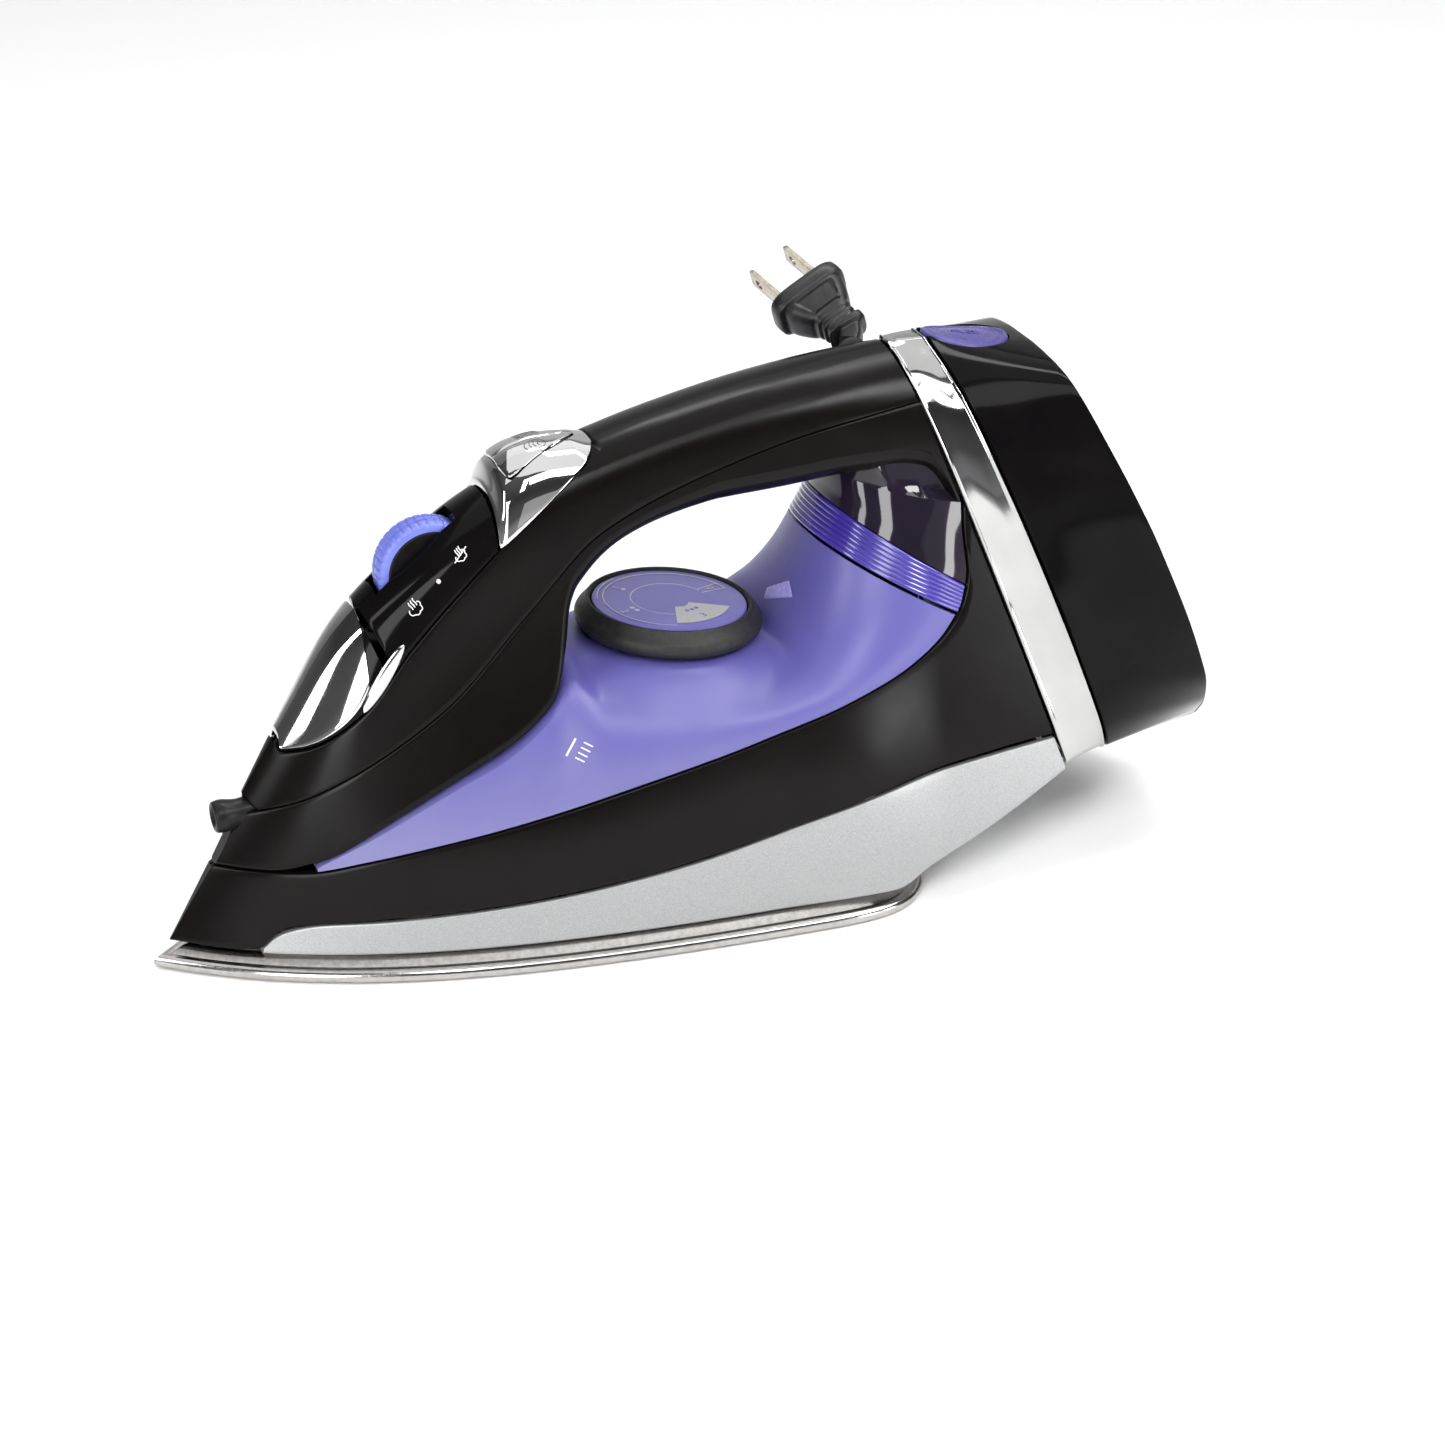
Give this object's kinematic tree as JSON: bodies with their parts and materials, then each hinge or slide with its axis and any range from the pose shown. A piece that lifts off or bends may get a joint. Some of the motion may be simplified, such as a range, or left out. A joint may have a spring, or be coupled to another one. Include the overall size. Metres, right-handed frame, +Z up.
{
  "type": "steam iron",
  "caption": "Household steam iron with water tank, temperature dial, spray and steam controls, heel rest and a self-winding mains cord with a two-blade plug.",
  "frame": {"origin": "middle of the iron's bounding box on the plane the sole stands on, cord and plug left out", "axes": "+X towards the heel, -X the nose, +Y to the iron's far side, +Z up"},
  "size_m": [0.3184, 0.1142, 0.1665],
  "materials": {
    "black_gloss": "gloss black moulded plastic",
    "black_satin": "satin black moulded plastic",
    "purple": "violet moulded plastic",
    "purple_clear": "frosted translucent violet plastic",
    "smoked": "smoked glossy plastic",
    "chrome": "mirror chrome plating",
    "silver": "fine-grained silver paint",
    "stainless": "polished stainless sole with a rolled rim",
    "aluminium": "as-cast aluminium",
    "steel": "plain steel",
    "brass": "nickel-plated or plain brass",
    "rubber": "black rubber or soft vinyl",
    "white": "natural engineering plastic"
  },
  "bodies": {
    "iron": {"soleplate": "stainless", "heater_casting": "aluminium", "steam_chamber_cover": "aluminium", "heating_element": "steel", "element_terminal_left": "steel", "element_terminal_right": "steel", "wheel_axle": "steel", "spray_spring": "steel", "burst_spring": "steel", "retract_spring": "steel", "brake_pin": "steel", "reel_axle": "steel", "mainspring": "steel", "thermostat_body": "brass", "plug_blade_live": "brass", "plug_blade_neutral": "brass", "thermostat_carrier": "white", "thermal_fuse": "white", "spray_pump": "white", "burst_pump": "white", "spray_hose": "white", "burst_hose": "white", "base_shell": "black_gloss", "front_shell": "black_gloss", "handle_cover": "black_gloss", "rear_cover": "black_gloss", "control_panel": "black_satin", "spray_nozzle": "black_satin", "reel_bulkhead": "black_satin", "spring_housing": "black_satin", "button_guide": "black_satin", "heat_skirt": "silver", "button_bezel": "chrome", "chrome_band": "chrome", "water_tank": "purple_clear", "tank_tub": "purple_clear", "shaft_sleeve": "purple_clear", "tank_collar": "purple", "rear_column": "smoked", "dial_seal": "rubber", "cord_tail": "rubber", "cord_bushing": "rubber", "plug_body": "rubber"},
    "dial": {"dial_ring": "rubber", "dial_face": "purple", "dial_shaft": "white"},
    "steam_wheel": {"steam_wheel": "purple"},
    "valve": {"valve_stem": "brass"},
    "fill_door": {"fill_door": "chrome"},
    "spray_button": {"spray_button": "chrome", "spray_piston": "white"},
    "burst_button": {"burst_button": "chrome", "burst_piston": "white"},
    "retract_button": {"retract_button": "purple", "retract_plunger": "white"},
    "brake": {"brake_lever": "white", "brake_pad": "rubber"},
    "reel": {"cord_reel": "black_satin", "cord_winding": "rubber"}
  },
  "joints": [
    {"name": "dial_turn", "type": "hinge", "parent": "iron", "child": "dial", "pos_m": [-0.0038, 0, 0.0796], "axis": [0.0698, 0, 0.9976], "range_deg": [-290, 0]},
    {"name": "steam_wheel_turn", "type": "hinge", "parent": "iron", "child": "steam_wheel", "pos_m": [-0.0753, 0, 0.1095], "axis": [0, 1, 0], "range_deg": [-30, 30]},
    {"name": "valve_lift", "type": "slide", "parent": "iron", "child": "valve", "axis": [0, 0, 1], "range_m": [-0.0016, 0.0016]},
    {"name": "fill_door_swing", "type": "hinge", "parent": "iron", "child": "fill_door", "pos_m": [-0.1208, 0, 0.0664], "axis": [0, 1, 0], "range_deg": [-75, 0]},
    {"name": "spray_press", "type": "slide", "parent": "iron", "child": "spray_button", "axis": [0, 0, -1], "range_m": [0, 0.003], "stiffness_N_per_m": 400, "springref_m": -0.002, "deforming": ["spray_spring"]},
    {"name": "burst_press", "type": "slide", "parent": "iron", "child": "burst_button", "axis": [0, 0, -1], "range_m": [0, 0.003], "stiffness_N_per_m": 400, "springref_m": -0.002, "deforming": ["burst_spring"]},
    {"name": "retract_press", "type": "slide", "parent": "iron", "child": "retract_button", "axis": [0, 0, -1], "range_m": [0, 0.0025], "stiffness_N_per_m": 400, "springref_m": -0.002, "deforming": ["retract_spring"]},
    {"name": "brake_tilt", "type": "hinge", "parent": "iron", "child": "brake", "pos_m": [0.0972, 0, 0.1325], "axis": [0, 1, 0], "range_deg": [-21, 0]},
    {"name": "reel_turn", "type": "hinge", "parent": "iron", "child": "reel", "pos_m": [0.11247, 0, 0.08211], "axis": [0.9163, 0, 0.4004], "range_deg": [0, 6000]}
  ],
  "couplings": [
    {"joint": "steam_wheel_turn", "follows": "valve_lift", "rad_per_m": 327},
    {"joint": "brake_tilt", "follows": "retract_press", "rad_per_m": -140}
  ]
}
